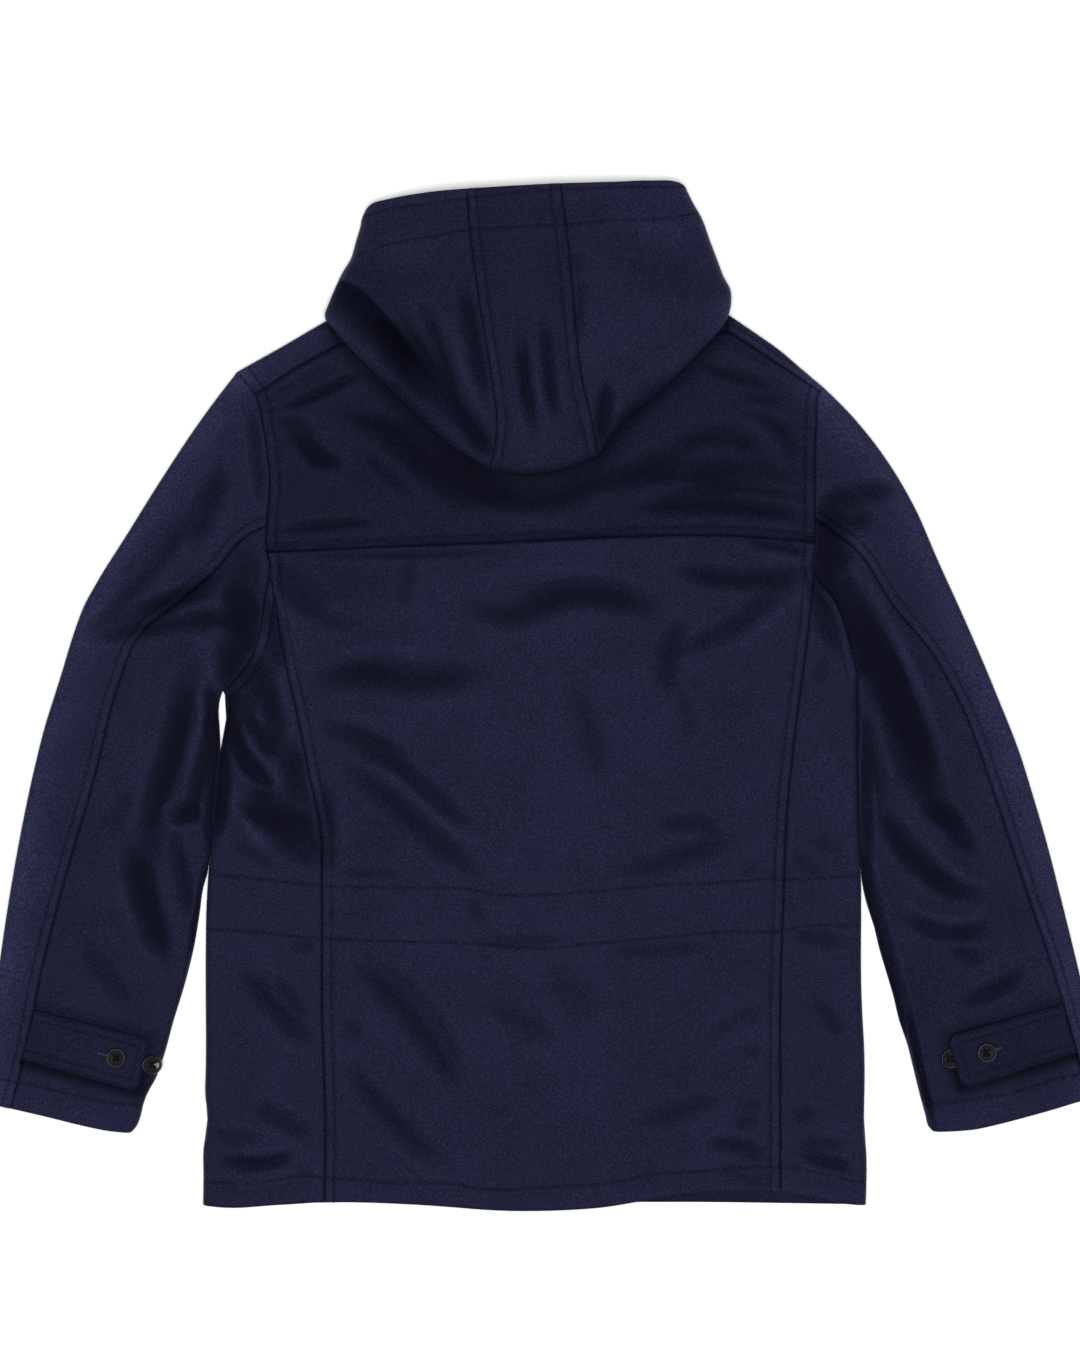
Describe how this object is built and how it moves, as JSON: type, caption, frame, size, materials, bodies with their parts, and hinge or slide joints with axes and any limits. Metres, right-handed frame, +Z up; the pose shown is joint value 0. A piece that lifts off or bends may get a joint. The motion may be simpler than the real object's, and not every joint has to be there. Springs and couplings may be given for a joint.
{
  "type": "duffle coat",
  "caption": "Short hooded duffle coat of dark melton wool, laid flat on its front with the back up, with a shoulder yoke, buttoned cuff tabs and a toggle front.",
  "frame": {"origin": "on the surface that the coat lies on, under the middle of its bounding box", "axes": "+X to the wearer's right sleeve as the coat lies, back up; +Y from the hem to the hood; +Z up from the surface"},
  "size_m": [0.966, 0.8852, 0.0379],
  "materials": {
    "melton": "thick fulled navy wool melton, matt with a short nap",
    "buttons": "polished dark mottled four-hole buttons",
    "toggles": "polished dark horn",
    "loops": "braided dark cord",
    "patches": "dark brown leather"
  },
  "bodies": {
    "root": {"yoke": "melton", "centre_back": "melton", "side_back_left": "melton", "side_back_right": "melton", "front_left": "melton", "front_right": "melton", "front_yoke_left": "melton", "front_yoke_right": "melton", "upper_sleeve_left": "melton", "upper_sleeve_right": "melton", "under_sleeve_left": "melton", "under_sleeve_right": "melton", "hood_left": "melton", "hood_right": "melton", "hood_gusset": "melton", "hood_back_lower": "melton", "hood_front_left": "melton", "hood_front_right": "melton", "cuff_tab_left": "melton", "cuff_tab_right": "melton", "button_left_tab": "buttons", "button_left_spare": "buttons", "button_right_tab": "buttons", "button_right_spare": "buttons", "toggle_1": "toggles", "toggle_2": "toggles", "toggle_3": "toggles", "toggle_4": "toggles", "loop_left_1": "loops", "loop_left_2": "loops", "loop_left_3": "loops", "loop_left_4": "loops", "loop_right_1": "loops", "loop_right_2": "loops", "loop_right_3": "loops", "loop_right_4": "loops", "patch_left_1": "patches", "patch_left_2": "patches", "patch_left_3": "patches", "patch_left_4": "patches", "patch_right_1": "patches", "patch_right_2": "patches", "patch_right_3": "patches", "patch_right_4": "patches"}
  },
  "joints": []
}
